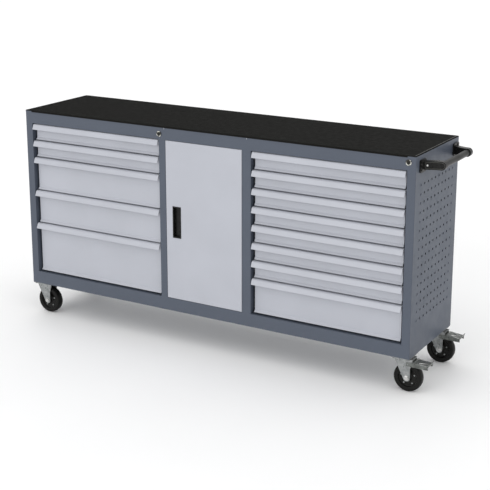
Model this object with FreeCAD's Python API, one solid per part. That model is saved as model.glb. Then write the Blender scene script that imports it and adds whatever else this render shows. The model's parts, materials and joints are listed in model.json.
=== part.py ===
import FreeCAD, Part
import math
import os

# Mobile workbench: a steel cabinet with five drawers, a cupboard and eight drawers side by side,
# on four swivel casters, with a ribbed mat on top and a push handle on the right end.
# Millimetres. While it is built, X runs right from the cabinet's left end, Y runs back from the
# face of the front frame and Z runs up from the floor. save() then moves every piece so that the
# origin is on the floor, below the middle of the whole bench.

# Cabinet
BODY_W = 1960.0
BODY_D = 460.0
BODY_H = 842.0
UNDERSIDE = 155.0
TOP = UNDERSIDE + BODY_H
SHEET = 1.5
BASE_T = 3.0
TOP_T = 2.0

# Front frame: heights are above the cabinet's underside, widths from its left end
FRAME_D = 30.0
OUTER_FLANGE = 18.0
CORNER_R = 3.0
BOTTOM_RAIL = 59.0
TOP_RAIL = 785.0
LEFT_BAY = (37.0, 751.0)
DOOR_BAY = (784.0, 1175.0)
RIGHT_BAY = (1217.0, 1924.0)
DIVIDERS = (779.0, 1197.0)

# Perforation of the side panels, on the usual 38 mm grid
PERF_PITCH = 38.0
PERF_HOLE = 9.5
PERF_COLUMNS = 10
PERF_ROWS = 16
PERF_FRONT = 59.0
PERF_LOW = 149.0

# Worktop mat
MAT_T = 4.0
MAT_BEVEL = 1.5
LIP_T = 2.5
LIP_DROP = 4.0
LIP_INSET = 37.0

# Drawers
UNIT = 80.0
DRAWER_TOP = 782.0
FRONT_GAP = 5.0
LEFT_UNITS = (1, 1, 2, 2, 3)
RIGHT_UNITS = (1, 1, 1, 1, 1, 1, 1, 2)
FRONT_SHEET = 1.2
GRIP_SHEET = 1.8
GRIP_PROUD = 8.0
GRIP_DROP = 25.0
GRIP_SIDE_GAP = 6.0
PANEL_Y = 20.0
PANEL_SIDE_GAP = 11.0
PAN_D = 12.0
FLARE_H = 11.0
FLARE_OUT = 8.0
TRAY_Y = PANEL_Y + PAN_D
TRAY_D = 398.0
TRAY_SIDE_GAP = 14.0
TRAY_LIFT = 7.0
TRAY_DROP = 16.0

# Telescopic slides: three nested channels, sizes across the slide
RAIL_Y = 33.0
RAIL_L = 400.0
RAIL_LIFT = 26.0
RAIL_T = 1.2
OUTER_HALF = 20.0
MIDDLE_HALF = 15.5
INNER_HALF = 11.5
MIDDLE_OUT = 4.5
INNER_OUT = 7.0
CHANNEL_REACH = 11.5

# Door and its grip
DOOR_GAP = 2.0
DOOR_HINGE_GAP = 2.5
DOOR_D = 20.0
HINGE_INSET = 4.0
HINGE_R = 2.5
FIT = 0.05
GRIP_X = 822.0
GRIP_W = 37.0
GRIP_Z = 349.0
GRIP_H = 138.0
GRIP_DEPTH = 14.0
GRIP_RIM = 3.0

# Locks: (X, height above the underside) of each core
LOCKS = {"left": (753.0, 809.0), "right": (1929.0, 818.0)}
CORE_R = 8.5
BEZEL_R = 12.5
BEZEL_T = 2.5
SLEEVE_R = 10.5
SLEEVE_END = 9.0
CAM_REACH = 12.0
CAM_PIN_R = 2.0
BAR_W = 16.0
BAR_Y = 12.5
BAR_T = 2.0
BAR_FOOT = 72.0
HOOK_DROP = 50.0
HOOK_OUT = 10.0
HOOK_T = 4.0
KEY_SLOT_W = 2.0
KEY_SLOT_H = 10.0
CAM_R = 5.0
CAM_GAP = 0.3
CAM_T = 2.0

# Push handle
HANDLE_REACH = 88.0
HANDLE_Z = 797.0
TUBE_R = 13.5
ARM_R = 17.5
ARM_T = 24.0
HANDLE_FRONT = 34.0
HANDLE_BACK = 452.0
BRACKET_W = 60.0
BRACKET_H = 52.0
BRACKET_T = 6.0
ARM_SLANT = 22.0
SOCKET = 14.0
SCREW_INSET = 14.0
SCREW_RISE = 16.0
SCREW_R = 4.5
SCREW_T = 3.0

# Casters
CASTER_INSET_X = 41.0
CASTER_INSET_Y = 50.0
PLATE_X = 80.0
PLATE_Y = 96.0
PLATE_T = 3.0
BOLT_X = 60.0
BOLT_Y = 76.0
BOLT_R = 4.0
RACE_R = 28.0
KINGPIN_R = 6.0
CROWN_TOP = 146.0
CROWN_T = 5.0
CROWN_R = 38.0
TRAIL = 22.0
WHEEL_R = 62.5
WHEEL_W = 36.0
RIM_R = 46.0
HUB_R = 14.0
HUB_HALF = 21.5
AXLE_R = 6.0
LEG_IN = 22.0
LEG_T = 3.0
LEG_FOOT_R = 14.5
LEG_HEEL = 30.0
LEG_WAIST_Z = 105.0
CROWN_AHEAD = 34.0
CROWN_BEHIND = 46.0
AXLE_HEAD = 17.0
AXLE_HEAD_T = 6.0
RACE_GAP = 0.3
KINGPIN_HEAD_T = 4.0

# Brake pedal, from the swivel axis
PEDAL_X = 26.0
PEDAL_Z = 124.0
PEDAL_SIDE = 25.5
PEDAL_T = 2.0
PEDAL_NEAR = 50.0
PEDAL_END = 114.0
PEDAL_NEAR_Z = 137.0
PEDAL_FAR_Z = 130.0
RIVET_R = 3.0
RIVET_OUT = 3.5
TIP_RUN = 9.0
TIP_RISE = 14.0
TIP_TAPER = 12.0
TIP_T = 2.5
CHEEK_DROP = 15.0
TONGUE_HALF = 20.0
TONGUE_X = 12.0

CENTRE_X = (BODY_W + HANDLE_REACH) / 2
CENTRE_Y = (BODY_D - GRIP_PROUD) / 2
MIDDLE_OF = {"left": CASTER_INSET_X, "right": BODY_W - CASTER_INSET_X}
DEPTH_OF = {"front": CASTER_INSET_Y, "rear": BODY_D - CASTER_INSET_Y}


def vec(x, y, z):
    return FreeCAD.Vector(x, y, z)


def box(x0, x1, y0, y1, z0, z1):
    return Part.makeBox(x1 - x0, y1 - y0, z1 - z0, vec(x0, y0, z0))


def along_y(radius, x, z, y0, y1):
    """A round bar that runs back from y0 to y1."""
    return Part.makeCylinder(radius, y1 - y0, vec(x, y0, z), vec(0, 1, 0))


def upright(radius, x, y, z0, z1):
    """A round bar that runs up from z0 to z1."""
    return Part.makeCylinder(radius, z1 - z0, vec(x, y, z0), vec(0, 0, 1))


def across(outline, x0, x1):
    """A bar with the closed (y, z) outline, from x0 to x1."""
    wire = Part.makePolygon([vec(x0, y, z) for y, z in outline + outline[:1]])
    return Part.Face(wire).extrude(vec(x1 - x0, 0, 0))


def back(outline, y0, y1):
    """A bar with the closed (x, z) outline, from y0 to y1."""
    wire = Part.makePolygon([vec(x, y0, z) for x, z in outline + outline[:1]])
    return Part.Face(wire).extrude(vec(0, y1 - y0, 0))


def up(outline, z0, z1):
    """A bar with the closed (x, y) outline, from z0 to z1."""
    wire = Part.makePolygon([vec(x, y, z0) for x, y in outline + outline[:1]])
    return Part.Face(wire).extrude(vec(0, 0, z1 - z0))


def round_upright_edges(solid, radius, corners):
    """Rounds the edges that run up at the (x, y) corners."""
    edges = []
    for edge in solid.Edges:
        ends = [v.Point for v in edge.Vertexes]
        if len(ends) == 2 and abs(ends[0].z - ends[1].z) > radius:
            for x, y in corners:
                if all(abs(p.x - x) < 0.01 and abs(p.y - y) < 0.01 for p in ends):
                    edges.append(edge)
    return solid.makeFillet(radius, edges)


def hexagon(across_flats, x, y, z0, z1):
    reach = across_flats / math.sqrt(3)
    corners = [(x + reach * math.cos(math.radians(60 * k)), y + reach * math.sin(math.radians(60 * k)))
               for k in range(6)]
    return up(corners, z0, z1)


def hexagon_back(across_flats, x, z, y0, y1):
    reach = across_flats / math.sqrt(3)
    corners = [(x + reach * math.cos(math.radians(60 * k)), z + reach * math.sin(math.radians(60 * k)))
               for k in range(6)]
    return back(corners, y0, y1)


def save(node, solids):
    placed = Part.makeCompound([s for piece in solids for s in piece.Solids])
    placed.translate(vec(-CENTRE_X, -CENTRE_Y, 0))
    placed.exportStep("parts/" + node + ".step")


def channel_post(x0, x1):
    """An upright of the front frame: a folded channel that is open at the back."""
    low = UNDERSIDE + BOTTOM_RAIL
    high = UNDERSIDE + TOP_RAIL
    left_flange = OUTER_FLANGE if x0 == 0 else FRAME_D
    right_flange = OUTER_FLANGE if x1 == BODY_W else FRAME_D
    post = box(x0, x1, 0, SHEET, low, high)
    post = post.fuse(box(x0, x0 + SHEET, 0, left_flange, low, high))
    post = post.fuse(box(x1 - SHEET, x1, 0, right_flange, low, high)).removeSplitter()
    if x0 == 0 or x1 == BODY_W:
        post = round_upright_edges(post, CORNER_R, [(0, 0), (BODY_W, 0)])
    return post


def channel_rail(z0, z1):
    """A rail of the front frame, from end to end, open at the back."""
    rail = box(0, BODY_W, 0, FRAME_D, z0, z1)
    rail = rail.cut(box(SHEET, BODY_W - SHEET, SHEET, FRAME_D, z0 + SHEET, z1 - SHEET))
    for x0, x1 in ((0, SHEET), (BODY_W - SHEET, BODY_W)):
        rail = rail.cut(box(x0, x1, OUTER_FLANGE, FRAME_D, z0, z1))
    return round_upright_edges(rail, CORNER_R, [(0, 0), (BODY_W, 0)])


def front_frame():
    hinge_x, hinge_y = hinge_axis()
    top = channel_rail(UNDERSIDE + TOP_RAIL, TOP)
    bottom = channel_rail(UNDERSIDE, UNDERSIDE + BOTTOM_RAIL)
    for x, height in LOCKS.values():
        top = top.cut(along_y(SLEEVE_R + FIT, x, UNDERSIDE + height, -1, SHEET + 1))
        slot_x = lock_bar_left(x) - 1
        z = UNDERSIDE + TOP_RAIL
        top = top.cut(box(slot_x, slot_x + BAR_W + 2, BAR_Y - 1, BAR_Y + BAR_T + 1, z - 1, z + SHEET + 1))
    rail_foot = UNDERSIDE + TOP_RAIL
    top = top.cut(upright(HINGE_R + FIT, hinge_x, hinge_y, rail_foot - 1, rail_foot + 3))
    bottom = bottom.cut(upright(HINGE_R + FIT, hinge_x, hinge_y, UNDERSIDE + BOTTOM_RAIL - 3,
                                UNDERSIDE + BOTTOM_RAIL + 1))
    posts = ((0, LEFT_BAY[0]), (LEFT_BAY[1], DOOR_BAY[0]),
             (DOOR_BAY[1], RIGHT_BAY[0]), (RIGHT_BAY[1], BODY_W))
    return [top, bottom] + [channel_post(x0, x1) for x0, x1 in posts]


def side_panel(x0):
    """A perforated side sheet with square holes."""
    rim = [vec(x0, y, z) for y, z in ((OUTER_FLANGE, UNDERSIDE), (BODY_D, UNDERSIDE), (BODY_D, TOP),
                                      (OUTER_FLANGE, TOP), (OUTER_FLANGE, UNDERSIDE))]
    wires = [Part.makePolygon(rim)]
    half = PERF_HOLE / 2
    for column in range(PERF_COLUMNS):
        for row in range(PERF_ROWS):
            y = PERF_FRONT + PERF_PITCH * column
            z = UNDERSIDE + PERF_LOW + PERF_PITCH * row
            corners = [(-half, -half), (half, -half), (half, half), (-half, half), (-half, -half)]
            wires.append(Part.makePolygon([vec(x0, y + dy, z + dz) for dy, dz in corners]))
    return Part.makeFace(wires, "Part::FaceMakerBullseye").extrude(vec(SHEET, 0, 0))


def worktop_mat():
    mat = box(0, BODY_W, 0, BODY_D, TOP, TOP + MAT_T)
    rim = [e for e in mat.Edges if all(abs(v.Point.z - TOP - MAT_T) < 0.01 for v in e.Vertexes)]
    mat = mat.makeChamfer(MAT_BEVEL, rim)
    lip = box(LIP_INSET, BODY_W - LIP_INSET, -LIP_T, 0, TOP - LIP_DROP, TOP + MAT_T - MAT_BEVEL)
    return [mat, lip]


def slide_upright(x0, x1, y0):
    """A square tube that carries the ends of the slides."""
    low = UNDERSIDE + BASE_T
    high = TOP - TOP_T
    tube = box(x0, x1, y0, y0 + FRAME_D, low, high)
    return tube.cut(box(x0 + SHEET, x1 - SHEET, y0 + SHEET, y0 + FRAME_D - SHEET, low, high))


def slide_uprights():
    pockets = ((SHEET, LEFT_BAY[0]), (LEFT_BAY[1], DIVIDERS[0] - 1),
               (DIVIDERS[1] + 1, RIGHT_BAY[0]), (RIGHT_BAY[1], BODY_W - SHEET))
    return [slide_upright(x0, x1, y0) for x0, x1 in pockets for y0 in (FRAME_D + 3, BODY_D - 2 * FRAME_D)]


def cupboard_shelves():
    """The cupboard's floor and its middle shelf, each with a folded front edge."""
    x0 = DIVIDERS[0] + 1
    x1 = DIVIDERS[1] - 1
    shelves = []
    for height, lip in ((BOTTOM_RAIL, 12.0), (420.0, 18.0)):
        z = UNDERSIDE + height
        shelf = box(x0, x1, FRAME_D + 2, BODY_D - SHEET, z - SHEET, z)
        shelf = shelf.fuse(box(x0, x1, FRAME_D + 2, FRAME_D + 2 + SHEET, z - lip, z))
        shelves.append(shelf.removeSplitter())
    return shelves


def drawer_levels(units):
    """(top of the grip strip, bottom edge of the front) of each drawer, from the top down."""
    levels = []
    top = UNDERSIDE + DRAWER_TOP
    for count in units:
        levels.append((top, top - UNIT * count + FRONT_GAP))
        top -= UNIT * count
    return levels


def rail_height(bottom):
    return bottom + TRAY_LIFT + RAIL_LIFT


def channel(wall, side, first, last, half, y0, length):
    """A channel of a slide. wall is the bay's edge, side is +1 towards +X, first its back, last its lips."""
    near = wall + side * first
    web = wall + side * (first + math.copysign(RAIL_T, last - first))
    lip = wall + side * last
    z = half
    body = [(near, -z), (lip, -z), (lip, -z + RAIL_T), (web, -z + RAIL_T),
            (web, z - RAIL_T), (lip, z - RAIL_T), (lip, z), (near, z)]
    return back(body, y0, y0 + length)


def raised(solid, z):
    solid.translate(vec(0, 0, z))
    return solid


def bay_sides(bay):
    return ((bay[0], 1), (bay[1], -1))


def fixed_rails(bay, units):
    return [raised(channel(wall, side, 0, CHANNEL_REACH, OUTER_HALF, RAIL_Y, RAIL_L), rail_height(bottom))
            for _, bottom in drawer_levels(units) for wall, side in bay_sides(bay)]


def middle_rails(bay, bottom):
    return [raised(channel(wall, side, MIDDLE_OUT, CHANNEL_REACH, MIDDLE_HALF, RAIL_Y, RAIL_L),
                   rail_height(bottom))
            for wall, side in bay_sides(bay)]


def inner_rails(bay, bottom):
    length = TRAY_D - (RAIL_Y - TRAY_Y)
    return [raised(channel(wall, side, TRAY_SIDE_GAP, INNER_OUT, INNER_HALF, RAIL_Y, length),
                   rail_height(bottom))
            for wall, side in bay_sides(bay)]


def grip_strip(bay, top):
    """The folded strip along the front's upper edge: a rounded top and a face that leans outwards."""
    x0 = bay[0] + GRIP_SIDE_GAP
    x1 = bay[1] - GRIP_SIDE_GAP
    round_y = 8.0
    knee_y, knee_z = -1.5, -7.0
    shift_y, shift_z = 1.7, -0.6

    def point(y, z):
        return vec(x0, y, top + z)

    outer = Part.Arc(point(round_y, 0), point(2.2, -2.0), point(knee_y, knee_z))
    inner = Part.Arc(point(knee_y + shift_y, knee_z + shift_z), point(3.5, -3.5), point(round_y, -GRIP_SHEET))
    edges = [Part.LineSegment(point(PANEL_Y, 0), point(round_y, 0)), outer,
             Part.LineSegment(point(knee_y, knee_z), point(knee_y + shift_y, knee_z + shift_z)), inner,
             Part.LineSegment(point(round_y, -GRIP_SHEET), point(PANEL_Y, -GRIP_SHEET)),
             Part.LineSegment(point(PANEL_Y, -GRIP_SHEET), point(PANEL_Y, 0))]
    flange = Part.Face(Part.Wire([e.toShape() for e in edges])).extrude(vec(x1 - x0, 0, 0))
    face = across([(knee_y, top + knee_z), (-GRIP_PROUD, top - GRIP_DROP),
                   (-GRIP_PROUD + 1.9, top - GRIP_DROP), (knee_y + shift_y, top + knee_z + shift_z)], x0, x1)
    return [flange, face]


def front_pan(bay, top, bottom):
    """The recessed front: a shallow pan, with its lower edge flared forward and folded back."""
    x0 = bay[0] + PANEL_SIDE_GAP
    x1 = bay[1] - PANEL_SIDE_GAP
    flare_top = bottom + FLARE_H
    pan = box(x0, x1, PANEL_Y, TRAY_Y, flare_top, top)
    pan = pan.cut(box(x0 + FRONT_SHEET, x1 - FRONT_SHEET, PANEL_Y + FRONT_SHEET, TRAY_Y,
                      flare_top, top - FRONT_SHEET))
    lip_y = PANEL_Y - FLARE_OUT
    flare = across([(PANEL_Y, flare_top), (lip_y, bottom), (lip_y + FRONT_SHEET, bottom),
                    (PANEL_Y + FRONT_SHEET, flare_top)], x0, x1)
    foot = box(x0, x1, PANEL_Y - FLARE_OUT + FRONT_SHEET, TRAY_Y, bottom, bottom + FRONT_SHEET)
    foot = foot.cut(flare)
    return [pan, flare, foot]


def tray(bay, top, bottom):
    """The drawer's box, from five flat sheets."""
    x0 = bay[0] + TRAY_SIDE_GAP
    x1 = bay[1] - TRAY_SIDE_GAP
    y0 = TRAY_Y
    y1 = TRAY_Y + TRAY_D
    z0 = bottom + TRAY_LIFT
    z1 = top - TRAY_DROP
    t = FRONT_SHEET
    return [box(x0, x1, y0, y1, z0, z0 + t),
            box(x0, x0 + t, y0, y1, z0 + t, z1), box(x1 - t, x1, y0, y1, z0 + t, z1),
            box(x0 + t, x1 - t, y0, y0 + t, z0 + t, z1), box(x0 + t, x1 - t, y1 - t, y1, z0 + t, z1)]


def drawer(bay, top, bottom):
    return (grip_strip(bay, top) + front_pan(bay, top, bottom) + tray(bay, top, bottom)
            + inner_rails(bay, bottom))


def door_box():
    return (DOOR_BAY[0] + DOOR_GAP, DOOR_BAY[1] - DOOR_HINGE_GAP,
            UNDERSIDE + BOTTOM_RAIL + DOOR_GAP, UNDERSIDE + TOP_RAIL - DOOR_GAP)


def hinge_axis():
    return DOOR_BAY[1] - DOOR_HINGE_GAP - HINGE_INSET, HINGE_INSET


def grip_opening(grow, y0, y1):
    z = UNDERSIDE + GRIP_Z
    return box(GRIP_X - grow, GRIP_X + GRIP_W + grow, y0, y1, z - grow, z + GRIP_H + grow)


def door_panel():
    """A pan with a window for the grip and a hole for each hinge pin."""
    x0, x1, z0, z1 = door_box()
    pan = box(x0, x1, 0, DOOR_D, z0, z1)
    pan = pan.cut(box(x0 + SHEET, x1 - SHEET, SHEET, DOOR_D, z0 + SHEET, z1 - SHEET))
    pan = pan.cut(grip_opening(0, -1, SHEET + 1))
    hinge_x, hinge_y = hinge_axis()
    return pan.cut(upright(HINGE_R, hinge_x, hinge_y, z0 - 1, z1 + 1))


def door_grip():
    """A moulded finger cup with a thin rim on the door's face."""
    wall = 2.0
    cup = grip_opening(0, -SHEET, GRIP_DEPTH).fuse(grip_opening(GRIP_RIM, -SHEET, 0))
    return cup.cut(grip_opening(-wall, -SHEET - 1, GRIP_DEPTH - wall)).removeSplitter()


def door_hinge_pins():
    hinge_x, hinge_y = hinge_axis()
    _, _, z0, z1 = door_box()
    return [upright(HINGE_R, hinge_x, hinge_y, z0 - 8, z0 + 6),
            upright(HINGE_R, hinge_x, hinge_y, z1 - 6, z1 + 8)]


def door_catch():
    """A magnet block on the frame, behind the door's free edge."""
    x = DOOR_BAY[0]
    return box(x, x + 14, DOOR_D + 0.5, FRAME_D, UNDERSIDE + 640, UNDERSIDE + 690)


def lock_bar_left(x):
    return x + 4.5


def lock_housing(x, height):
    z = UNDERSIDE + height
    ring = along_y(BEZEL_R, x, z, -BEZEL_T, 0).fuse(along_y(SLEEVE_R, x, z, 0, SLEEVE_END))
    return ring.cut(along_y(CORE_R + FIT, x, z, -BEZEL_T - 1, SLEEVE_END + 1)).removeSplitter()


def lock_core(x, height):
    """The turning core with its key slot, and a cam whose pin sits in the locking bar."""
    z = UNDERSIDE + height
    angle = math.radians(-45)
    pin_x = x + CAM_REACH * math.cos(angle)
    pin_z = z + CAM_REACH * math.sin(angle)
    cam_y0 = SLEEVE_END + CAM_GAP
    cam_y1 = cam_y0 + CAM_T
    core = along_y(CORE_R, x, z, -BEZEL_T, cam_y0)
    core = core.cut(box(x - KEY_SLOT_W / 2, x + KEY_SLOT_W / 2, -BEZEL_T - 1, 2.0,
                        z - KEY_SLOT_H / 2, z + KEY_SLOT_H / 2))
    web_half = 3.0 / math.sqrt(2)
    cam = along_y(CAM_R, x, z, cam_y0, cam_y1).fuse(along_y(3.0, pin_x, pin_z, cam_y0, cam_y1))
    web = [(x - web_half, z - web_half), (pin_x - web_half, pin_z - web_half),
           (pin_x + web_half, pin_z + web_half), (x + web_half, z + web_half)]
    cam = cam.fuse(back(web, cam_y0, cam_y1))
    pin = along_y(CAM_PIN_R, pin_x, pin_z, cam_y1, BAR_Y + BAR_T + 1.5)
    return core.fuse(cam).fuse(pin).removeSplitter()


def lock_bar(x, height):
    """A flat bar down the frame, lifted by the cam's pin, with a hook at each drawer unit."""
    x0 = lock_bar_left(x)
    pin_z = UNDERSIDE + height - CAM_REACH / math.sqrt(2)
    bar = box(x0, x0 + BAR_W, BAR_Y, BAR_Y + BAR_T, UNDERSIDE + BAR_FOOT, pin_z + 7.0)
    slot_half = CAM_PIN_R + 0.6
    bar = bar.cut(box(x0 + 1.2, x0 + 10.5, BAR_Y - 1, BAR_Y + BAR_T + 1,
                      pin_z - slot_half, pin_z + slot_half))
    for k in range(sum(RIGHT_UNITS)):
        z = UNDERSIDE + DRAWER_TOP - UNIT * k - HOOK_DROP
        bar = bar.fuse(box(x0 + 4, x0 + 12, BAR_Y + BAR_T, BAR_Y + HOOK_OUT, z, z + HOOK_T))
    return bar.removeSplitter()


def bracket_outline(plate_edge, inward):
    """The arm in plan: it leans inwards from the plate to the end of the tube."""
    x0 = BODY_W + BRACKET_T
    x1 = BODY_W + HANDLE_REACH
    root = plate_edge + inward * (BRACKET_W - ARM_T)
    end = root + inward * ARM_SLANT
    return [(x0, root), (x1 - 2 * ARM_R, end - inward * 4), (x1, end), (x1, end + inward * ARM_T),
            (x1 - 2 * ARM_R, end + inward * ARM_T), (x0, root + inward * ARM_T)]


def socket_ends():
    """Y of the inner face of each arm, where the tube comes out."""
    run = BRACKET_W + ARM_SLANT
    return HANDLE_FRONT + run, HANDLE_BACK - run


def push_handle_bracket(plate_edge, inward):
    z = UNDERSIDE + HANDLE_Z
    y0, y1 = sorted((plate_edge, plate_edge + inward * BRACKET_W))
    plate = box(BODY_W, BODY_W + BRACKET_T, y0, y1, z - BRACKET_H / 2, z + BRACKET_H / 2)
    corners = [e for e in plate.Edges if abs(e.Vertexes[0].Point.x - e.Vertexes[1].Point.x) > 1]
    plate = plate.makeFillet(9.0, corners)
    tube_x = BODY_W + HANDLE_REACH - ARM_R
    low, high = socket_ends()
    span = (HANDLE_FRONT, HANDLE_BACK)
    stadium = box(BODY_W, tube_x, span[0], span[1], z - ARM_R, z + ARM_R)
    stadium = stadium.fuse(along_y(ARM_R, tube_x, z, *span))
    arm = up(bracket_outline(plate_edge, inward), z - ARM_R, z + ARM_R).common(stadium)
    socket = along_y(TUBE_R + FIT, tube_x, z, low - SOCKET, high + SOCKET)
    return plate.fuse(arm).cut(socket).removeSplitter()


def push_handle_tube():
    low, high = socket_ends()
    tube_x = BODY_W + HANDLE_REACH - ARM_R
    z = UNDERSIDE + HANDLE_Z
    tube = along_y(TUBE_R, tube_x, z, low - SOCKET, high + SOCKET)
    return tube.cut(along_y(TUBE_R - 2, tube_x, z, low - SOCKET, high + SOCKET))


def caster_spots():
    """(name, X, Y) of each swivel axis."""
    return [(depth + "_" + side, MIDDLE_OF[side], DEPTH_OF[depth])
            for depth in ("front", "rear") for side in ("left", "right")]


def bolt_spots(x, y):
    return [(x + i * BOLT_X / 2, y + j * BOLT_Y / 2) for i in (-1, 1) for j in (-1, 1)]


def base_panel():
    base = box(SHEET, BODY_W - SHEET, FRAME_D, BODY_D - SHEET, UNDERSIDE, UNDERSIDE + BASE_T)
    for _, x, y in caster_spots():
        for bolt_x, bolt_y in bolt_spots(x, y):
            if bolt_y > FRAME_D:
                base = base.cut(upright(BOLT_R + 0.3, bolt_x, bolt_y, UNDERSIDE - 1, UNDERSIDE + BASE_T + 1))
    return base


def caster_plate(x, y):
    """The top plate with its race and its kingpin."""
    plate = box(x - PLATE_X / 2, x + PLATE_X / 2, y - PLATE_Y / 2, y + PLATE_Y / 2,
                UNDERSIDE - PLATE_T, UNDERSIDE)
    for bolt_x, bolt_y in bolt_spots(x, y):
        plate = plate.cut(upright(BOLT_R + 0.3, bolt_x, bolt_y, UNDERSIDE - PLATE_T - 1, UNDERSIDE + 1))
    plate = plate.fuse(upright(RACE_R, x, y, CROWN_TOP + RACE_GAP, UNDERSIDE - PLATE_T))
    head_top = CROWN_TOP - CROWN_T - RACE_GAP
    head_foot = head_top - KINGPIN_HEAD_T
    plate = plate.fuse(upright(KINGPIN_R, x, y, head_foot, CROWN_TOP + RACE_GAP))
    return plate.fuse(upright(KINGPIN_R + 4, x, y, head_foot, head_top)).removeSplitter()


def caster_fork(x, y, braked):
    """The swivel fork: crown, two tapered legs and the axle bolt, and rivets for a pedal if it is braked."""
    crown_foot = CROWN_TOP - CROWN_T
    low_y = y - LEG_IN - LEG_T
    high_y = y + LEG_IN + LEG_T
    crown = upright(CROWN_R, x, y, crown_foot, CROWN_TOP)
    crown = crown.common(box(x - CROWN_R, x + CROWN_R, low_y, high_y, crown_foot, CROWN_TOP))
    crown = crown.fuse(box(x, x + CROWN_BEHIND, low_y, high_y, crown_foot, CROWN_TOP))
    crown = crown.fuse(box(x - CROWN_AHEAD, x, low_y, high_y, crown_foot, CROWN_TOP))
    crown = crown.cut(upright(KINGPIN_R + FIT, x, y, crown_foot - 1, CROWN_TOP + 1)).removeSplitter()
    axle_x = x + TRAIL
    heel_angle = math.radians(LEG_HEEL)
    heel = (axle_x - LEG_FOOT_R * math.cos(heel_angle), WHEEL_R - LEG_FOOT_R * math.sin(heel_angle))
    trailing = axle_x + LEG_FOOT_R
    outline = [(x - CROWN_AHEAD, crown_foot), heel, (trailing, WHEEL_R), (trailing, LEG_WAIST_Z),
               (x + CROWN_BEHIND, crown_foot - 6), (x + CROWN_BEHIND, crown_foot)]
    legs = []
    for y0 in (low_y, y + LEG_IN):
        leg = back(outline, y0, y0 + LEG_T).fuse(along_y(LEG_FOOT_R, axle_x, WHEEL_R, y0, y0 + LEG_T))
        legs.append(leg.cut(along_y(AXLE_R, axle_x, WHEEL_R, y0 - 1, y0 + LEG_T + 1)).removeSplitter())
    bolt = along_y(AXLE_R, axle_x, WHEEL_R, low_y, high_y)
    for head_y in (low_y - AXLE_HEAD_T, high_y):
        bolt = bolt.fuse(hexagon_back(AXLE_HEAD, axle_x, WHEEL_R, head_y, head_y + AXLE_HEAD_T))
    bolt = bolt.removeSplitter()
    rivets = []
    if braked:
        rivets = [along_y(RIVET_R, x + PEDAL_X, PEDAL_Z, low_y - RIVET_OUT, low_y),
                  along_y(RIVET_R, x + PEDAL_X, PEDAL_Z, high_y, high_y + RIVET_OUT)]
    return [crown] + legs + [bolt] + rivets


def revolved(outline, x, y):
    """A ring about the axle. The outline is (distance along the axle, radius)."""
    points = [vec(x, y + along, WHEEL_R + radius) for along, radius in outline + outline[:1]]
    return Part.Face(Part.makePolygon(points)).revolve(vec(x, y, WHEEL_R), vec(0, 1, 0), 360)


def wheel(x, y):
    """A rubber tyre with rounded shoulders on a plastic rim with a hub."""
    half = WHEEL_W / 2
    shoulder = 6.0
    arc = [(half - shoulder + shoulder * math.sin(math.radians(a)),
            WHEEL_R - shoulder + shoulder * math.cos(math.radians(a))) for a in (90, 60, 30, 0)]
    tread = arc + [(-along, radius) for along, radius in reversed(arc)]
    tyre = revolved([(half - 2, RIM_R)] + tread + [(-half + 2, RIM_R)], x, y)
    rim = revolved([(HUB_HALF, AXLE_R + FIT), (HUB_HALF, HUB_R), (7, HUB_R + 4), (7, RIM_R - 8),
                    (half - 2, RIM_R - 4), (half - 2, RIM_R), (-half + 2, RIM_R), (-half + 2, RIM_R - 4),
                    (-7, RIM_R - 8), (-7, HUB_R + 4), (-HUB_HALF, HUB_R), (-HUB_HALF, AXLE_R + FIT)], x, y)
    return [tyre, rim]


def brake_pedal(x, y):
    """A pressed pedal: two cheeks on the fork, a tread that slopes down, a turned-up tip and a tongue."""
    end = x + PEDAL_END
    tread_x = x + PEDAL_NEAR
    near_z = PEDAL_NEAR_Z
    far_z = PEDAL_FAR_Z
    width = PEDAL_SIDE + PEDAL_T
    tread = back([(tread_x, near_z - PEDAL_T), (end, far_z - PEDAL_T), (end, far_z), (tread_x, near_z)],
                 y - width, y + width)
    tip_x = end + TIP_RUN
    tip_half = width - TIP_TAPER
    tip = up([(end, y - width), (tip_x, y - tip_half), (tip_x, y + tip_half), (end, y + width)],
             far_z - PEDAL_T, far_z + TIP_RISE)
    slope = back([(end - 1, far_z - PEDAL_T), (end + 1.5, far_z - PEDAL_T), (tip_x, far_z + TIP_RISE),
                  (tip_x - TIP_T, far_z + TIP_RISE), (end - 1, far_z)], y - width, y + width)
    tip = tip.common(slope)
    pivot = (x + PEDAL_X, PEDAL_Z)
    cheeks = []
    for y0 in (y - width, y + PEDAL_SIDE):
        cheek = back([(pivot[0] - 6, pivot[1] - 6), (pivot[0] + 6, pivot[1] - 8), (end, far_z - CHEEK_DROP),
                      (end, far_z - PEDAL_T), (tread_x, near_z - PEDAL_T), (pivot[0] - 6, pivot[1] + 8)],
                     y0, y0 + PEDAL_T)
        cheeks.append(cheek.cut(along_y(RIVET_R + FIT, *pivot, y0 - 1, y0 + PEDAL_T + 1)))
    tongue_top = near_z - PEDAL_T + 0.5
    tongue = box(x + TONGUE_X, tread_x, y - TONGUE_HALF, y + TONGUE_HALF, tongue_top - PEDAL_T, tongue_top)
    return [tread, tip] + cheeks + [tongue]


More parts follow.
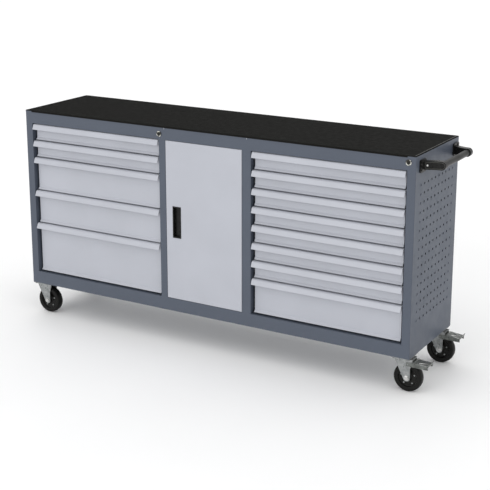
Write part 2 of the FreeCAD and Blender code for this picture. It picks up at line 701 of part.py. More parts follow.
def mounting_bolts():
    """Hexagon bolts of the caster plates and cap screws of the handle brackets."""
    bolts = []
    for _, x, y in caster_spots():
        for bolt_x, bolt_y in bolt_spots(x, y):
            low = UNDERSIDE - PLATE_T
            bolt = hexagon(13.0, bolt_x, bolt_y, low - 5, low)
            if bolt_y > FRAME_D:
                bolt = bolt.fuse(upright(BOLT_R, bolt_x, bolt_y, low, UNDERSIDE + BASE_T + 8))
                bolt = bolt.fuse(hexagon(13.0, bolt_x, bolt_y, UNDERSIDE + BASE_T, UNDERSIDE + BASE_T + 6))
            else:
                bolt = bolt.fuse(upright(BOLT_R, bolt_x, bolt_y, low, UNDERSIDE))
            bolts.append(bolt.removeSplitter())
    z = UNDERSIDE + HANDLE_Z
    for y in (HANDLE_FRONT + SCREW_INSET, HANDLE_BACK - SCREW_INSET):
        for rise in (-SCREW_RISE, SCREW_RISE):
            foot = vec(BODY_W + BRACKET_T, y, z + rise)
            bolts.append(Part.makeCylinder(SCREW_R, SCREW_T, foot, vec(1, 0, 0)))
    return bolts


def main():
    os.makedirs("parts", exist_ok=True)
    bays = {"left": (LEFT_BAY, LEFT_UNITS), "right": (RIGHT_BAY, RIGHT_UNITS)}

    save("front_frame", front_frame())
    save("side_panel_left", [side_panel(0)])
    save("side_panel_right", [side_panel(BODY_W - SHEET)])
    save("back_panel", [box(SHEET, BODY_W - SHEET, BODY_D - SHEET, BODY_D, UNDERSIDE, TOP)])
    save("base_panel", [base_panel()])
    save("top_panel", [box(SHEET, BODY_W - SHEET, FRAME_D, BODY_D - SHEET, TOP - TOP_T, TOP)])
    save("worktop_mat", worktop_mat())
    save("divider_panels", [box(x - 1, x + 1, FRAME_D, BODY_D - SHEET, UNDERSIDE + BASE_T, TOP - TOP_T)
                            for x in DIVIDERS])
    save("slide_uprights", slide_uprights())
    save("slide_rails", [rail for bay, units in bays.values() for rail in fixed_rails(bay, units)])
    save("cupboard_shelves", cupboard_shelves())

    for side, (bay, units) in bays.items():
        for number, (top, bottom) in enumerate(drawer_levels(units), start=1):
            save("%s_drawer_%d" % (side, number), drawer(bay, top, bottom))
            save("%s_slides_%d" % (side, number), middle_rails(bay, bottom))

    save("door_panel", [door_panel()])
    save("door_grip", [door_grip()])
    save("door_hinge_pins", door_hinge_pins())
    save("door_catch", [door_catch()])

    save("lock_housings", [lock_housing(x, height) for x, height in LOCKS.values()])
    for side, (x, height) in LOCKS.items():
        save("lock_core_" + side, [lock_core(x, height)])
        save("lock_bar_" + side, [lock_bar(x, height)])

    save("push_handle_brackets", [push_handle_bracket(HANDLE_FRONT, 1),
                                  push_handle_bracket(HANDLE_BACK, -1)])
    save("push_handle_tube", [push_handle_tube()])
    save("mounting_bolts", mounting_bolts())

    save("caster_plates", [caster_plate(x, y) for _, x, y in caster_spots()])
    for name, x, y in caster_spots():
        braked = name.endswith("right")
        save("caster_fork_" + name, caster_fork(x, y, braked))
        save("wheel_" + name, wheel(x + TRAIL, y))
        if braked:
            save("brake_pedal_" + name.split("_")[0], brake_pedal(x, y))


main()
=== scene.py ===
import json
import math

import bmesh
import bpy
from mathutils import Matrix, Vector


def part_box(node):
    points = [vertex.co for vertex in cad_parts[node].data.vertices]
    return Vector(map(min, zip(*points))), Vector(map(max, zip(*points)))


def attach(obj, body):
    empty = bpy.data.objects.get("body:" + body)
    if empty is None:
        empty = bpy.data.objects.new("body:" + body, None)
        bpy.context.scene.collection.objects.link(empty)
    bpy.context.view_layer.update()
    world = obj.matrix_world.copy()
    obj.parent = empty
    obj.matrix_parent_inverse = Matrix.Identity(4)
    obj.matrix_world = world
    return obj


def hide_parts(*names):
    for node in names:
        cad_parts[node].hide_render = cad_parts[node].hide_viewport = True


# The looks of a mobile workbench with drawers. Metres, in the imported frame: X runs along the bench towards
# the push handle, Y from the drawer fronts to the back, Z up.

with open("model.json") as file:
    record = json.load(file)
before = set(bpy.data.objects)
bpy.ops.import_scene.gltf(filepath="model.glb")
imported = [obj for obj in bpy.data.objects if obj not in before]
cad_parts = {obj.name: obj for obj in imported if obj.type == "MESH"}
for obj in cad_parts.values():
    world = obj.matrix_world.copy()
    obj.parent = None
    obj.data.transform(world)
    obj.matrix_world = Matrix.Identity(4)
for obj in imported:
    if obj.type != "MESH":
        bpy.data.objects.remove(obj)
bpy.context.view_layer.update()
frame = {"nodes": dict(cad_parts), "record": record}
NODES = frame["nodes"]
CORNERS = ("front_left", "front_right", "rear_left", "rear_right")

# Camera: where it stands and which way it looks, in degrees. At azimuth 0 it looks along +Y.
CAMERA_PLACE = (2.668, -4.490, 2.032)
CAMERA_AZIMUTH = 30.41
CAMERA_ELEVATION = 14.64
SENSOR = 36.0
LENS = 88.46
SHIFT_Y = -0.1

# Lights: the way each one shines, the width of its source in degrees, and its power
SUNS = {
    "key": ((0.25, 0.90, -0.24), 40, 0.82),
    "top": ((0.05, 0.25, -1.0), 60, 0.24),
    "fill": ((-0.9, 0.35, -0.35), 50, 0.20),
}
WORLD_POWER = 1.0
FLOOR_REACH = 30.0

# Colours, linear
FRAME_BLUE = (0.0735, 0.0865, 0.1130)
FRONT_GREY = (0.398, 0.411, 0.455)
MAT_BLACK = (0.0078, 0.0078, 0.0070)
PLASTIC_BLACK = (0.0055, 0.0055, 0.0050)
HANDLE_BLACK = (0.0060, 0.0060, 0.0055)
ZINC = (0.31, 0.32, 0.32)
ZINC_DULL = (0.18, 0.19, 0.19)
ZINC_BRIGHT = (0.62, 0.62, 0.61)
PEDAL_GREY = (0.17, 0.18, 0.17)
PEDAL_DARK = (0.07, 0.075, 0.07)
# Nickel is mixed with a much darker copy of itself, as a painted reflection of the room
NICKEL = (0.58, 0.58, 0.54)
# The lock's face is dark as a painted reflection of a dark room
LOCK_FACE_PAINTED_DARK = (0.022, 0.022, 0.020)
# Painted highlights: the light colours of the beads on the handle's arms and along the mat's right edge
ARM_EDGE_HIGHLIGHT = (0.040, 0.040, 0.034)
MAT_EDGE_HIGHLIGHT = (0.105, 0.105, 0.100)
TYRE_BLACK = (0.0055, 0.0055, 0.0052)
FLOOR_PALE = (0.93, 0.93, 0.93)

# Bolts above this height belong to the push handle's plates, and are black
BLACK_SCREWS_FROM = 0.5
BLACK_SCREWS_FADE = 0.01

# The small bevel on the edges of the CAD nodes, where the faces turn by more than an angle in degrees
NODE_BEVEL = 0.0004
NODE_BEVEL_SEGMENTS = 2
NODE_BEVEL_FROM = 40

# How finely the section of a raised bead is rounded
BEAD_RESOLUTION = 3

# Mat, with a lip on its front edge that runs from post to post
POST_W = 0.037
MAT_BEVEL = 0.0015
RIB_PITCH = 0.0050
RIB_DEPTH = 0.0006
RIBS_BELOW_TOP = 0.0005

# A groove and a rib: the share of the pitch, and the depth below the rib's crown
RIB_SECTION = ((0.0, RIB_DEPTH), (0.22, RIB_DEPTH), (0.38, 0.0), (0.84, 0.0))

# A raised bead along the mat's right edge, coloured light as a painted highlight
EDGE_LINE_IN = 0.007
EDGE_LINE_R = 0.0013

# Nuts and washers over the ends of the caster axles, on the outer faces of the fork's legs. A nut's rings are
# given as the share of its thickness and the share of its radius.
LEG_FACE = 0.025
NUT_R = 0.0101
NUT_T = 0.0064
NUT_RINGS = ((0.15, 1.0), (0.82, 1.0), (1.0, 0.86))
WASHER_R = 0.0116
WASHER_T = 0.0012
WASHER_SIDES = 24

# The arms of the push handle, and the bead around the outer face of each
PLATE_T = 0.006
ARM_R = 0.0175
ARM_ROOT = 0.036
ARM_SLANT_Y = 0.018
ARM_END_Y = 0.022
ARM_BEAD_R = 0.0014
ARM_INSET = 0.0045
ARM_BEND_STEPS = 10

# The screw at an arm's root. Its rings are given as the height over the arm's face and the radius.
SCREW_IN = 0.011
SCREW_R = 0.0042
SCREW_T = 0.0022
SCREW_RINGS = ((-0.0005, SCREW_R), (SCREW_T * 0.6, SCREW_R), (SCREW_T, SCREW_R * 0.75))
SCREW_SIDES = 16

# Light marks on the top rail, at the joints between the three modules: X from the cabinet's left end
SEAM_X = {"seam_mark_left": 0.779, "seam_mark_right": 1.197}
SEAM_LENGTH = 0.010
SEAM_OUT = 0.0002
SEAM_R = 0.0014

# Wheels. SIDEWALL and RIM_SIDE are distances from the wheel's middle, and the drops are heights below the
# tread's top.
TYRE_W = 0.036
SIDEWALL = TYRE_W / 2 - 0.0008
SHOULDER_R = 0.0075
SHOULDER_DROP = 0.0010
SHOULDER_TURN = 62
SHOULDER_STEPS = 6
CROWN_HALF = 0.004
CROWN_DROP = 0.0001
RIM_R = 0.046
RIM_SIDE = TYRE_W / 2 - 0.0018
HUB_R = 0.014
HUB_HALF = 0.0212
HUB_BEVEL = 0.0012
AXLE_HOLE_R = 0.0062
TURN_STEPS = 72

# Half of the tyre's side and half of the rim, as the distance from the wheel's middle and the radius
TYRE_SIDE = ((SIDEWALL, RIM_R - 0.0004), (SIDEWALL, RIM_R + 0.0050), (SIDEWALL, RIM_R + 0.0062),
             (TYRE_W / 2, RIM_R + 0.0070))
RIM_SECTION = ((HUB_HALF, AXLE_HOLE_R), (HUB_HALF, HUB_R - HUB_BEVEL), (HUB_HALF - HUB_BEVEL, HUB_R),
               (0.0110, HUB_R + 0.0010), (0.0070, HUB_R + 0.0050), (0.0062, RIM_R - 0.0095),
               (0.0085, RIM_R - 0.0060), (TYRE_W / 2 - 0.0030, RIM_R - 0.0042),
               (RIM_SIDE, RIM_R - 0.0030), (RIM_SIDE, RIM_R - 0.0006))

# The rim's hexagonal bolts
BOLT_CIRCLE_R = 0.031
BOLT_COUNT = 5
BOLT_TURN = 0.3
BOLT_FOOT = 0.0061
BOLT_R = 0.0034
BOLT_T = 0.0042

# A brake pedal's tread, which rises from its far end towards the caster
PEDAL_TIP = 0.009
TREAD_LENGTH = 0.064
TREAD_FAR_Z = 0.130
TREAD_RISE = 0.007

# The V and the border that are pressed up on the tread
V_BEAD_R = 0.0022
V_BACK = 0.008
V_LENGTH = 0.034
V_HALF_WIDTH = 0.016
BORDER_INSET = 0.0035
BORDER_R = 0.0010


class Nodes:
    """A new material and short ways to add nodes to it."""

    def __init__(self, name):
        self.material = bpy.data.materials.new(name)
        self.material.use_nodes = True
        self.tree = self.material.node_tree
        self.shader = self.tree.nodes["Principled BSDF"]
        self.place = self.add("ShaderNodeTexCoord").outputs["Object"]

    def add(self, kind, **values):
        node = self.tree.nodes.new(kind)
        for key, value in values.items():
            setattr(node, key, value)
        return node

    def link(self, a, b):
        self.tree.links.new(a, b)

    def stretched(self, scale):
        """The object's coordinates, scaled along each axis."""
        mapping = self.add("ShaderNodeMapping")
        mapping.inputs["Scale"].default_value = scale
        self.link(self.place, mapping.inputs["Vector"])
        return mapping.outputs["Vector"]

    def noise(self, scale, detail=3.0, vector=None):
        node = self.add("ShaderNodeTexNoise")
        node.inputs["Scale"].default_value = scale
        node.inputs["Detail"].default_value = detail
        self.link(vector or self.place, node.inputs["Vector"])
        return node.outputs["Fac"]

    def ramp(self, value, low, high, start=0.3, end=0.7):
        """Maps value from start..end to low..high."""
        node = self.add("ShaderNodeMapRange")
        node.inputs["From Min"].default_value = start
        node.inputs["From Max"].default_value = end
        node.inputs["To Min"].default_value = low
        node.inputs["To Max"].default_value = high
        self.link(value, node.inputs["Value"])
        return node.outputs["Result"]

    def mix(self, factor, a, b):
        """Mixes two colours, each a tuple or a socket."""
        node = self.add("ShaderNodeMix", data_type="RGBA")
        self.link(factor, node.inputs["Factor"])
        for socket, colour in ((node.inputs[6], a), (node.inputs[7], b)):
            if isinstance(colour, tuple):
                socket.default_value = (*colour, 1.0)
            else:
                self.link(colour, socket)
        return node.outputs[2]

    def bump(self, height, distance, strength):
        node = self.add("ShaderNodeBump")
        node.inputs["Distance"].default_value = distance
        node.inputs["Strength"].default_value = strength
        self.link(height, node.inputs["Height"])
        return node.outputs["Normal"]

    def give(self, name, value):
        """Sets the shader's socket to a number, or links another socket to it."""
        if isinstance(value, float):
            self.shader.inputs[name].default_value = value
        else:
            self.link(value, self.shader.inputs[name])

    def finish(self, colour, roughness, normal=None, metallic=0.0, specular=0.5):
        self.give("Base Color", colour)
        self.give("Roughness", roughness)
        self.give("Metallic", metallic)
        self.give("Specular IOR Level", specular)
        if normal is not None:
            self.give("Normal", normal)
        return self.material


def shade(colour, factor):
    return tuple(c * factor for c in colour)


def powder_coat(name, colour, roughness, specular):
    """Satin powder coat: fine orange peel, faint cloudiness and slightly uneven gloss."""
    n = Nodes(name)
    cloud = n.ramp(n.noise(5.0, 4.0), 0.0, 1.0)
    speck = n.ramp(n.noise(900.0, 2.0), 0.0, 0.35)
    tone = n.mix(cloud, shade(colour, 0.96), shade(colour, 1.03))
    tone = n.mix(speck, tone, shade(colour, 0.88))
    gloss = n.ramp(n.noise(22.0, 4.0), roughness - 0.04, roughness + 0.05)
    peel = n.bump(n.noise(650.0, 2.0), 0.00012, 0.35)
    return n.finish(tone, gloss, peel, specular=specular)


def mat_rubber():
    """Black rubber, matt, with a fine grain and a trace of dust."""
    n = Nodes("mat_rubber")
    dust = n.ramp(n.noise(3.0, 5.0), 0.0, 0.6)
    tone = n.mix(dust, MAT_BLACK, shade(MAT_BLACK, 1.25))
    gloss = n.ramp(n.noise(45.0, 3.0), 0.72, 0.86)
    return n.finish(tone, gloss, n.bump(n.noise(1500.0, 2.0), 0.00005, 0.4), specular=0.06)


def black_plastic():
    """Moulded plastic with a fine grain."""
    n = Nodes("black_plastic")
    tone = n.mix(n.ramp(n.noise(30.0, 4.0), 0.0, 1.0), PLASTIC_BLACK, shade(PLASTIC_BLACK, 1.6))
    gloss = n.ramp(n.noise(60.0, 3.0), 0.22, 0.38)
    return n.finish(tone, gloss, n.bump(n.noise(1800.0, 2.0), 0.00006, 0.5), specular=0.18)


def handle_coat():
    """Black powder coat, rubbed smoother where hands go."""
    n = Nodes("handle_coat")
    worn = n.ramp(n.noise(14.0, 5.0), 0.0, 1.0)
    tone = n.mix(worn, HANDLE_BLACK, shade(HANDLE_BLACK, 1.7))
    gloss = n.ramp(n.noise(25.0, 4.0), 0.26, 0.42)
    return n.finish(tone, gloss, n.bump(n.noise(900.0, 2.0), 0.0001, 0.4), specular=0.16)


def zinc_plate(name, bright, dull):
    """Zinc: mottled, with fine drawing lines and duller patches."""
    n = Nodes(name)
    patch = n.ramp(n.noise(55.0, 5.0), 0.0, 1.0, 0.35, 0.7)
    tone = n.mix(patch, bright, dull)
    gloss = n.ramp(n.noise(90.0, 4.0), 0.24, 0.42)
    lines = n.noise(1.0, 2.0, n.stretched((160.0, 160.0, 1400.0)))
    return n.finish(tone, gloss, n.bump(lines, 0.00005, 0.3), metallic=0.6)


def zinc_bright():
    """Zinc on turned parts, which stays brighter than on pressed sheet."""
    n = Nodes("zinc_bright")
    tone = n.mix(n.ramp(n.noise(260.0, 4.0), 0.0, 1.0), ZINC_BRIGHT, shade(ZINC_BRIGHT, 0.75))
    gloss = n.ramp(n.noise(300.0, 3.0), 0.16, 0.30)
    return n.finish(tone, gloss, n.bump(n.noise(900.0), 0.00004, 0.3), metallic=1.0)


def bolt_finish():
    """Zinc on the casters' bolts, and black on the screws of the push handle's plates, higher up."""
    n = Nodes("bolt_finish")
    axes = n.add("ShaderNodeSeparateXYZ")
    n.link(n.place, axes.inputs["Vector"])
    high = n.ramp(axes.outputs["Z"], 0.0, 1.0, BLACK_SCREWS_FROM, BLACK_SCREWS_FROM + BLACK_SCREWS_FADE)
    metal = n.mix(n.ramp(n.noise(200.0, 3.0), 0.0, 1.0), ZINC, ZINC_DULL)
    tone = n.mix(high, metal, PLASTIC_BLACK)
    metallic = n.ramp(high, 1.0, 0.0, 0.0, 1.0)
    gloss = n.ramp(n.noise(90.0, 4.0), 0.28, 0.44)
    return n.finish(tone, gloss, n.bump(n.noise(700.0), 0.00004, 0.3), metallic)


def nickel():
    """Polished nickel, with light and dark patches painted into its colour as a painted reflection of the
    room.
    """
    n = Nodes("chrome")
    # Painted reflection: random patches are darkened to stand for dark parts of the room seen in the nickel
    painted_reflection = n.ramp(n.noise(75.0, 2.0), 0.0, 1.0, 0.42, 0.58)
    tone = n.mix(painted_reflection, NICKEL, shade(NICKEL, 0.09))
    gloss = n.ramp(n.noise(400.0, 3.0), 0.08, 0.18)
    return n.finish(tone, gloss, n.bump(n.noise(700.0), 0.00003, 0.2), metallic=1.0)


def lock_face():
    """Nickel made dark in its colour as a painted reflection of a dark room, with fine lighter specks."""
    n = Nodes("lock_face")
    marks = n.ramp(n.noise(900.0, 4.0), 0.0, 1.0)
    # The dark base colour is painted shade: it stands for the dark room reflected in the lock's face
    tone = n.mix(marks, LOCK_FACE_PAINTED_DARK, shade(LOCK_FACE_PAINTED_DARK, 2.4))
    gloss = n.ramp(n.noise(500.0, 3.0), 0.2, 0.4)
    return n.finish(tone, gloss, n.bump(n.noise(1200.0), 0.00005, 0.4), metallic=1.0)


def tyre():
    """Black rubber with dust from the floor."""
    n = Nodes("tyre_rubber")
    dust = n.ramp(n.noise(40.0, 5.0), 0.0, 0.7)
    tone = n.mix(dust, TYRE_BLACK, shade(TYRE_BLACK, 2.2))
    gloss = n.ramp(n.noise(80.0, 4.0), 0.34, 0.56)
    return n.finish(tone, gloss, n.bump(n.noise(1100.0, 3.0), 0.00012, 0.5), specular=0.12)


def painted_highlight_edge(name, colour):
    """A black edge coloured lighter, unevenly, as a painted highlight."""
    n = Nodes(name)
    # The light colour is a painted highlight, varied at random
    tone = n.mix(n.ramp(n.noise(70.0, 5.0), 0.0, 1.0), colour, shade(colour, 0.6))
    gloss = n.ramp(n.noise(120.0, 3.0), 0.35, 0.55)
    return n.finish(tone, gloss, n.bump(n.noise(1000.0, 2.0), 0.00004, 0.4))


def pale_floor():
    """A plain pale floor, very slightly uneven."""
    n = Nodes("floor")
    tone = n.mix(n.ramp(n.noise(1.2, 3.0), 0.0, 1.0), FLOOR_PALE, shade(FLOOR_PALE, 0.985))
    return n.finish(tone, 0.62)


MATERIALS = {
    "frame_paint": powder_coat("frame_paint", FRAME_BLUE, 0.42, 0.28),
    "front_paint": powder_coat("front_paint", FRONT_GREY, 0.40, 0.5),
    "mat_rubber": mat_rubber(),
    "black_plastic": black_plastic(),
    "handle_coat": handle_coat(),
    "zinc": zinc_plate("zinc", ZINC, ZINC_DULL),
    "pedal_zinc": zinc_plate("pedal_zinc", PEDAL_GREY, PEDAL_DARK),
    "zinc_bright": zinc_bright(),
    "bolt_finish": bolt_finish(),
    "chrome": nickel(),
    "lock_face": lock_face(),
    # The two edge looks below are painted highlights
    "arm_edge": painted_highlight_edge("arm_edge", ARM_EDGE_HIGHLIGHT),
    "mat_edge": painted_highlight_edge("mat_edge", MAT_EDGE_HIGHLIGHT),
    "tyre_rubber": tyre(),
}

# CAD nodes that look different from the rest of their slot
OWN_LOOK = {
    "lock_core_left": "lock_face",
    "lock_core_right": "lock_face",
    "mounting_bolts": "bolt_finish",
    "brake_pedal_front": "pedal_zinc",
    "brake_pedal_rear": "pedal_zinc",
}


def dress_cad_nodes():
    """Gives each CAD node its material and a small bevel, so that its edges catch the light."""
    for piece in frame["record"]["subparts"]:
        node = NODES[piece["node"]]
        node.data.materials.clear()
        look = OWN_LOOK.get(piece["node"], piece["material_slot"])
        node.data.materials.append(MATERIALS[look])
        bevel = node.modifiers.new("edge", "BEVEL")
        bevel.width = NODE_BEVEL
        bevel.segments = NODE_BEVEL_SEGMENTS
        bevel.limit_method = "ANGLE"
        bevel.angle_limit = math.radians(NODE_BEVEL_FROM)


def polygon(sides):
    """Corners of a regular polygon of radius 1 about the origin."""
    return [(math.cos(math.tau * k / sides), math.sin(math.tau * k / sides)) for k in range(sides)]


def arc(centre, radius, first, last, steps):
    """Points of a round stretch, from the first angle to the last, in degrees."""
    angles = [math.radians(first + (last - first) * k / steps) for k in range(steps + 1)]
    return [(centre[0] + radius * math.cos(a), centre[1] + radius * math.sin(a)) for a in angles]


def mirrored(section):
    """A section on the side of plus, and then its mirror image on the side of minus."""
    return list(section) + [(-along, radius) for along, radius in reversed(section)]


class Shell:
    """A mesh that is put together from closed parts, each with one of its materials."""

    def __init__(self):
        self.mesh = bmesh.new()

    def faces(self, rings, material, closed):
        """Joins each ring of corners to the next, and the last to the first if closed."""
        rows = [[self.mesh.verts.new(corner) for corner in ring] for ring in rings]
        pairs = list(zip(rows, rows[1:] + rows[:1])) if closed else list(zip(rows, rows[1:]))
        for a, b in pairs:
            for k in range(len(a)):
                face = self.mesh.faces.new((a[k], a[k - 1], b[k - 1], b[k]))
                face.material_index = material
                face.smooth = True
        if not closed:
            for row in (rows[0], rows[-1]):
                self.mesh.faces.new(row).material_index = material

    def turned(self, outline, centre, material):
        """A ring about an axle along Y. The outline is (distance along the axle, radius)."""
        rings = []
        for x, z in polygon(TURN_STEPS):
            rings.append([(centre.x + radius * x, centre.y + along, centre.z + radius * z)
                          for along, radius in outline])
        self.faces(rings, material, closed=True)

    def prism(self, outline, start, way, material):
        """A bar whose section is the closed outline, from start and as long as way."""
        rings = [[Vector(corner) + start + way * k for corner in outline] for k in (0, 1)]
        self.faces(rings, material, closed=False)

    def finish(self, name, materials, sharp=35):
        """Makes the piece. Its edges are sharp where the faces turn by more than sharp degrees."""
        bmesh.ops.recalc_face_normals(self.mesh, faces=self.mesh.faces)
        for edge in self.mesh.edges:
            if len(edge.link_faces) == 2 and edge.calc_face_angle() > math.radians(sharp):
                edge.smooth = False
        data = bpy.data.meshes.new(name)
        self.mesh.to_mesh(data)
        self.mesh.free()
        for slot in materials:
            data.materials.append(MATERIALS[slot])
        piece = bpy.data.objects.new(name, data)
        bpy.context.scene.collection.objects.link(piece)
        return piece


def ribbed_mat():
    """The mat with ribs that run from front to back, and the lip on its front edge."""
    low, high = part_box("worktop_mat")
    frame_low, frame_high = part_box("front_frame")
    shoulder = high.z - MAT_BEVEL
    crown = high.z - RIBS_BELOW_TOP
    width = high.x - low.x - 2 * MAT_BEVEL
    ribs = int(width / RIB_PITCH)
    pitch = width / ribs
    outline = [(low.x, frame_high.z), (high.x, frame_high.z), (high.x, shoulder)]
    for k in range(ribs):
        start = high.x - MAT_BEVEL - k * pitch
        outline += [(start - share * pitch, crown - drop) for share, drop in RIB_SECTION]
    outline += [(low.x + MAT_BEVEL, crown - RIB_DEPTH), (low.x, shoulder)]
    shell = Shell()
    corners = [(x, 0, z) for x, z in outline]
    shell.prism(corners, Vector((0, frame_low.y, 0)), Vector((0, high.y - frame_low.y, 0)), 0)
    inset = frame_high.x - high.x + POST_W
    lip = [(0, low.y, low.z), (0, low.y, shoulder - MAT_BEVEL), (0, low.y + MAT_BEVEL, shoulder),
           (0, frame_low.y, shoulder), (0, frame_low.y, low.z)]
    shell.prism(lip, Vector((low.x + inset, 0, 0)), Vector((high.x - low.x - 2 * inset, 0, 0)), 0)
    piece = shell.finish("ribbed_mat", ["mat_rubber"], sharp=20)
    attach(piece, "cabinet")
    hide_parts("worktop_mat")


def mat_edge_line():
    """A raised bead along the mat's right edge, coloured light as a painted highlight."""
    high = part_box("worktop_mat")[1]
    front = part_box("front_frame")[0].y
    x = high.x - EDGE_LINE_IN
    z = high.z - EDGE_LINE_R
    line = [(x, front + EDGE_LINE_IN, z), (x, high.y - EDGE_LINE_IN, z)]
    beads("mat_edge_line", [line], EDGE_LINE_R, False, "mat_edge", "cabinet")


def full_wheel(corner):
    """A crowned tyre with a bead line on each side, a dished rim, a hub and its bolts."""
    node = "wheel_" + corner
    low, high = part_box(node)
    centre = (low + high) / 2
    outer = (high.z - low.z) / 2
    shoulder_centre = (TYRE_W / 2 - SHOULDER_R, outer - SHOULDER_R - SHOULDER_DROP)
    shoulder = arc(shoulder_centre, SHOULDER_R, 0, SHOULDER_TURN, SHOULDER_STEPS)
    shell = Shell()
    shell.turned(mirrored([*TYRE_SIDE, *shoulder, (CROWN_HALF, outer - CROWN_DROP)]), centre, 0)
    shell.turned(mirrored(RIM_SECTION), centre, 1)
    hexagon = [(BOLT_R * x, 0, BOLT_R * z) for x, z in polygon(6)]
    for way in (-1, 1):
        for k in range(BOLT_COUNT):
            a = math.tau * (k + BOLT_TURN) / BOLT_COUNT
            x = BOLT_CIRCLE_R * math.cos(a)
            z = BOLT_CIRCLE_R * math.sin(a)
            shell.prism(hexagon, centre + Vector((x, way * BOLT_FOOT, z)), Vector((0, way * BOLT_T, 0)), 2)
    piece = shell.finish("full_" + node, ["tyre_rubber", "black_plastic", "zinc"], sharp=28)
    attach(piece, node)
    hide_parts(node)


def beads(name, paths, radius, closed, look, body):
    """Round beads along paths of corners. The look is one of MATERIALS."""
    curve = bpy.data.curves.new(name, "CURVE")
    curve.dimensions = "3D"
    curve.bevel_depth = radius
    curve.bevel_resolution = BEAD_RESOLUTION
    curve.use_fill_caps = True
    for path in paths:
        spline = curve.splines.new("POLY")
        spline.points.add(len(path) - 1)
        spline.use_cyclic_u = closed
        for spot, corner in zip(spline.points, path):
            spot.co = (*corner, 1)
    curve.materials.append(MATERIALS[look])
    piece = bpy.data.objects.new(name, curve)
    bpy.context.scene.collection.objects.link(piece)
    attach(piece, body)


def pedal_mark(end):
    """The V and the border that are pressed up on a brake pedal's tread."""
    node = "brake_pedal_" + end
    low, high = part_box(node)
    middle = (low.y + high.y) / 2
    far_x = high.x - PEDAL_TIP

    def on_tread(back, side):
        """The place on the tread this far back from its far end, and this far to the side."""
        return (far_x - back, middle + side, TREAD_FAR_Z + back / TREAD_LENGTH * TREAD_RISE)

    open_end = V_BACK + V_LENGTH
    mark = [on_tread(open_end, V_HALF_WIDTH), on_tread(V_BACK, 0), on_tread(open_end, -V_HALF_WIDTH)]
    beads("pedal_mark_" + end, [mark], V_BEAD_R, False, "zinc_bright", node)
    near = TREAD_LENGTH - BORDER_INSET
    far = BORDER_INSET
    half = (high.y - low.y) / 2 - BORDER_INSET
    border = [on_tread(near, -half), on_tread(far, -half), on_tread(far, half), on_tread(near, half)]
    beads("pedal_border_" + end, [border], BORDER_R, True, "zinc_bright", node)


def axle_nut(corner, side):
    """A chamfered nut and its washer, over one end of a caster's axle. Side is -1 in front, 1 behind."""
    low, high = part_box("wheel_" + corner)
    centre = (low + high) / 2
    foot_y = centre.y + side * LEG_FACE
    shell = Shell()
    washer = [(WASHER_R * x, 0, WASHER_R * z) for x, z in polygon(WASHER_SIDES)]
    shell.prism(washer, Vector((centre.x, foot_y, centre.z)), Vector((0, side * WASHER_T, 0)), 0)
    rings = []
    for height, share in NUT_RINGS:
        y = foot_y + side * NUT_T * height
        radius = NUT_R * share
        rings.append([(centre.x + radius * x, y, centre.z + radius * z) for x, z in polygon(6)])
    shell.faces(rings, 0, closed=False)
    place = "front" if side < 0 else "rear"
    piece = shell.finish("axle_nut_" + corner + "_" + place, ["zinc_bright"], sharp=25)
    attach(piece, "caster_fork_" + corner)


def handle_arm(place, inward):
    """The bead around the outer face of an arm of the push handle, coloured light as a painted highlight, and
    the screw at the arm's root.
    """
    low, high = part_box("push_handle_brackets")
    edge = low.y if inward > 0 else high.y
    middle = (low.z + high.z) / 2
    bead_r = ARM_R - ARM_INSET
    root_x = low.x + PLATE_T
    knee_x = high.x - 2 * ARM_R
    tube_x = high.x - ARM_R

    def on_face(x):
        """Y of the arm's outer face."""
        if x < knee_x:
            depth = ARM_SLANT_Y * (x - root_x) / (knee_x - root_x)
        else:
            depth = ARM_SLANT_Y + (ARM_END_Y - ARM_SLANT_Y) * (x - knee_x) / (high.x - knee_x)
        return edge + inward * (ARM_ROOT + depth)

    flat = [(root_x + ARM_INSET, bead_r), (knee_x, bead_r)]
    bend = arc((tube_x, 0), bead_r, 90, -90, ARM_BEND_STEPS)
    path = flat + bend + [(x, -z) for x, z in reversed(flat)]
    corners = [(x, on_face(x), middle + z) for x, z in path]
    # The bead's light colour is a painted highlight along the arm's rim
    beads("handle_arm_bead_" + place, [corners], ARM_BEAD_R, True, "arm_edge", "cabinet")

    screw_x = root_x + SCREW_IN
    foot = Vector((screw_x, on_face(screw_x), middle))
    along = Vector((knee_x - root_x, inward * ARM_SLANT_Y, 0)).normalized()
    out = Vector((along.y, -along.x, 0)) * inward
    up = Vector((0, 0, 1))
    shell = Shell()
    rings = [[foot + out * height + (along * a + up * b) * radius for a, b in polygon(SCREW_SIDES)]
             for height, radius in SCREW_RINGS]
    shell.faces(rings, 0, closed=False)
    piece = shell.finish("handle_screw_" + place, ["zinc_bright"])
    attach(piece, "cabinet")


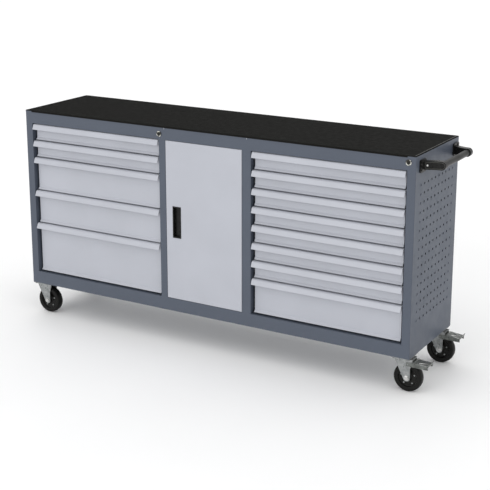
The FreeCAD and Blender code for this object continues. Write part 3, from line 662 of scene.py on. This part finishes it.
def seam_mark(name, x):
    """The light end of a joint between two modules, on the front of the top rail."""
    low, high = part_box("front_frame")
    path = [(x, low.y - SEAM_OUT, high.z - SEAM_LENGTH), (x, low.y - SEAM_OUT, high.z - SEAM_R)]
    beads(name, [path], SEAM_R, False, "front_paint", "cabinet")


def make_floor():
    mesh = bpy.data.meshes.new("floor")
    ways = ((-1, -1), (1, -1), (1, 1), (-1, 1))
    mesh.from_pydata([(FLOOR_REACH * x, FLOOR_REACH * y, 0) for x, y in ways], [], [(0, 1, 2, 3)])
    floor = bpy.data.objects.new("floor", mesh)
    bpy.context.scene.collection.objects.link(floor)
    mesh.materials.append(pale_floor())


def soft_sun(name, way, spread, power):
    """Even light that shines along way, as from a large soft box far off, which looks spread degrees wide."""
    light = bpy.data.lights.new(name, "SUN")
    light.energy = power
    light.angle = math.radians(spread)
    lamp = bpy.data.objects.new(name, light)
    lamp.rotation_mode = "QUATERNION"
    lamp.rotation_quaternion = Vector(way).to_track_quat("-Z", "Y")
    bpy.context.scene.collection.objects.link(lamp)


def light_studio():
    world = bpy.data.worlds.new("studio")
    bpy.context.scene.world = world
    world.use_nodes = True
    background = world.node_tree.nodes["Background"]
    background.inputs["Color"].default_value = (1, 1, 1, 1)
    background.inputs["Strength"].default_value = WORLD_POWER
    for name, (way, spread, power) in SUNS.items():
        soft_sun(name, way, spread, power)


def place_camera():
    data = bpy.data.cameras.new("camera")
    data.sensor_width = SENSOR
    data.lens = LENS
    data.shift_y = SHIFT_Y
    camera = bpy.data.objects.new("camera", data)
    camera.location = CAMERA_PLACE
    camera.rotation_euler = (math.radians(90 - CAMERA_ELEVATION), 0, math.radians(CAMERA_AZIMUTH))
    bpy.context.scene.collection.objects.link(camera)
    bpy.context.scene.camera = camera


bpy.context.scene.view_settings.view_transform = "Standard"
dress_cad_nodes()
ribbed_mat()
mat_edge_line()
for corner in CORNERS:
    full_wheel(corner)
    axle_nut(corner, -1)
    axle_nut(corner, 1)
for end in ("front", "rear"):
    pedal_mark(end)
handle_arm("front", 1)
handle_arm("rear", -1)
for name, along in SEAM_X.items():
    seam_mark(name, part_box("front_frame")[0].x + along)
make_floor()
light_studio()
place_camera()
